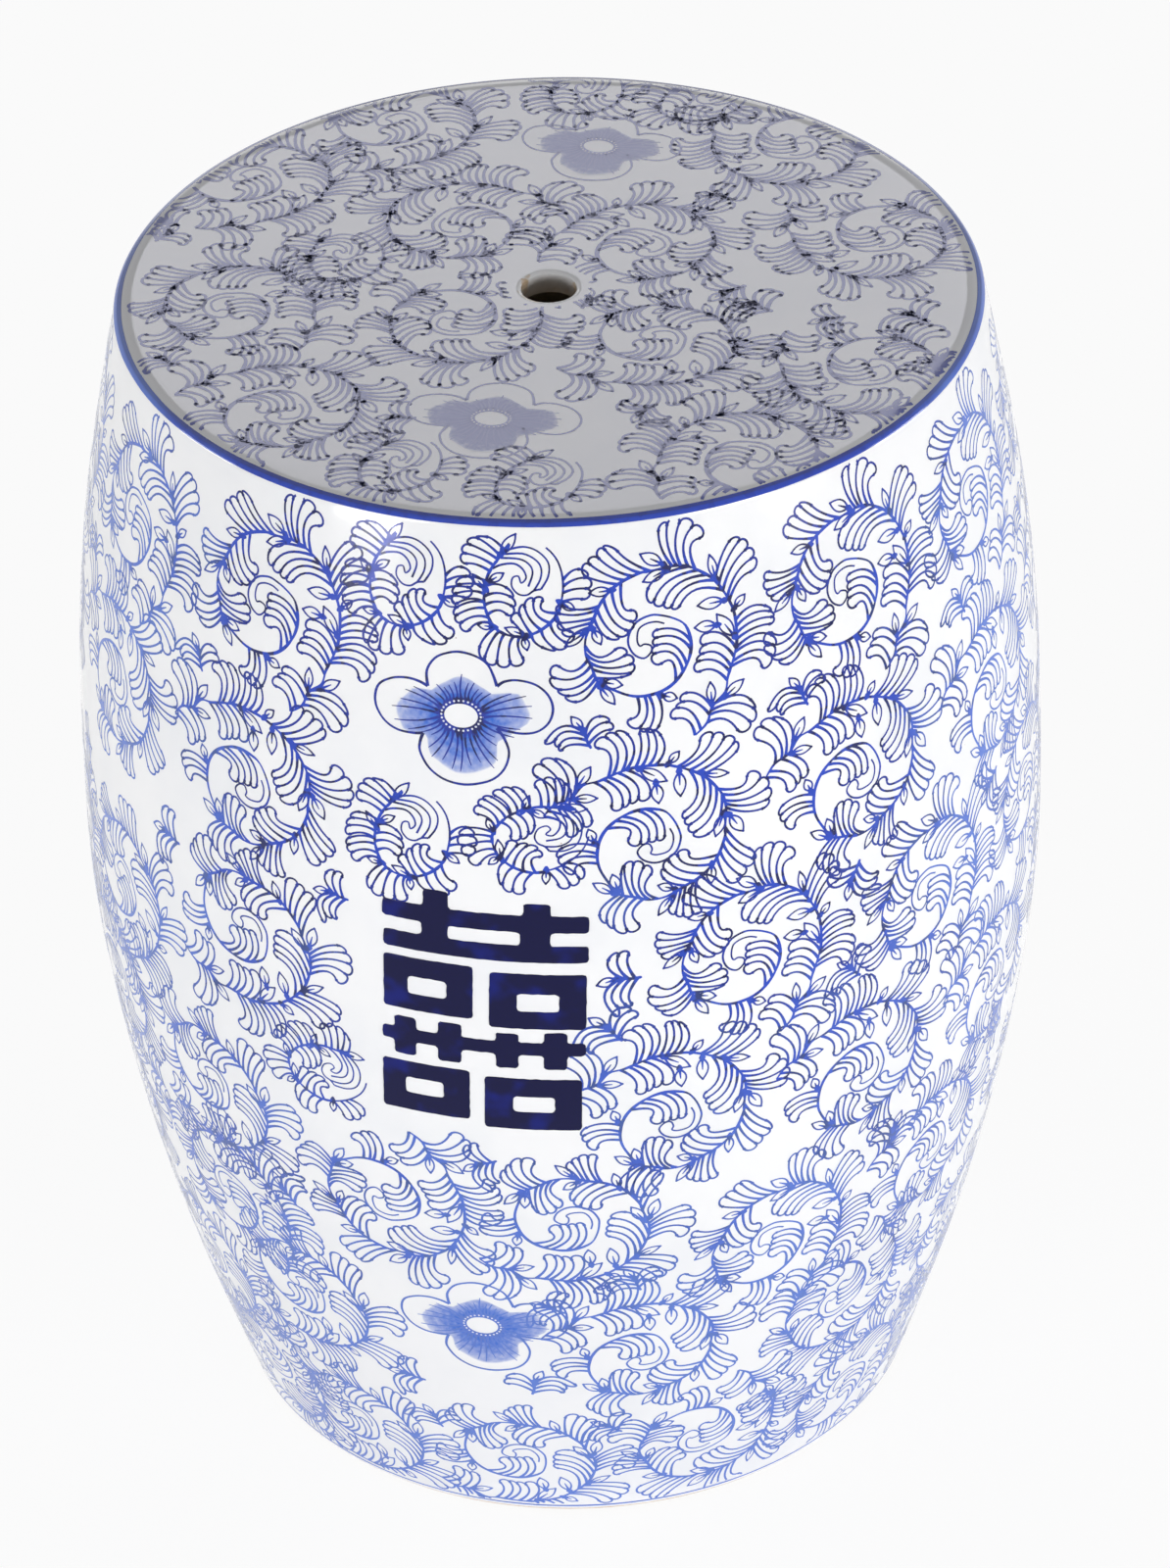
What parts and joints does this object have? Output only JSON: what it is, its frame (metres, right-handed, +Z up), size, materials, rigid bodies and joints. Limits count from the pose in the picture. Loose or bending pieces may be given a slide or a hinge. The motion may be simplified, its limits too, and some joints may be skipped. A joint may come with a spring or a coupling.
{
  "type": "garden stool",
  "caption": "Hollow barrel-shaped ceramic garden stool with a flat round seat, a finger hole to lift it by, a bare foot ring and blue painted decoration.",
  "frame": {"origin": "centre of the foot's bearing face, on the floor", "axes": "+Z up along the stool's axis of revolution, -Y towards the painted front, +X to the right when it is seen from the front"},
  "size_m": [0.355, 0.355, 0.46],
  "materials": {
    "biscuit": "unglazed fired clay, pale tan, fine and slightly rough, ground flat under the foot",
    "white_glaze": "high-gloss clear glaze over a white ground, with a faint cool tint",
    "cobalt": "cobalt blue painting under the gloss glaze, from a pale wash to navy"
  },
  "bodies": {
    "root": {"foot_ring": "biscuit", "lower_wall": "white_glaze", "upper_wall": "white_glaze", "belly_band": "biscuit", "seat_slab": "white_glaze", "seat_coil": "biscuit"}
  },
  "joints": []
}
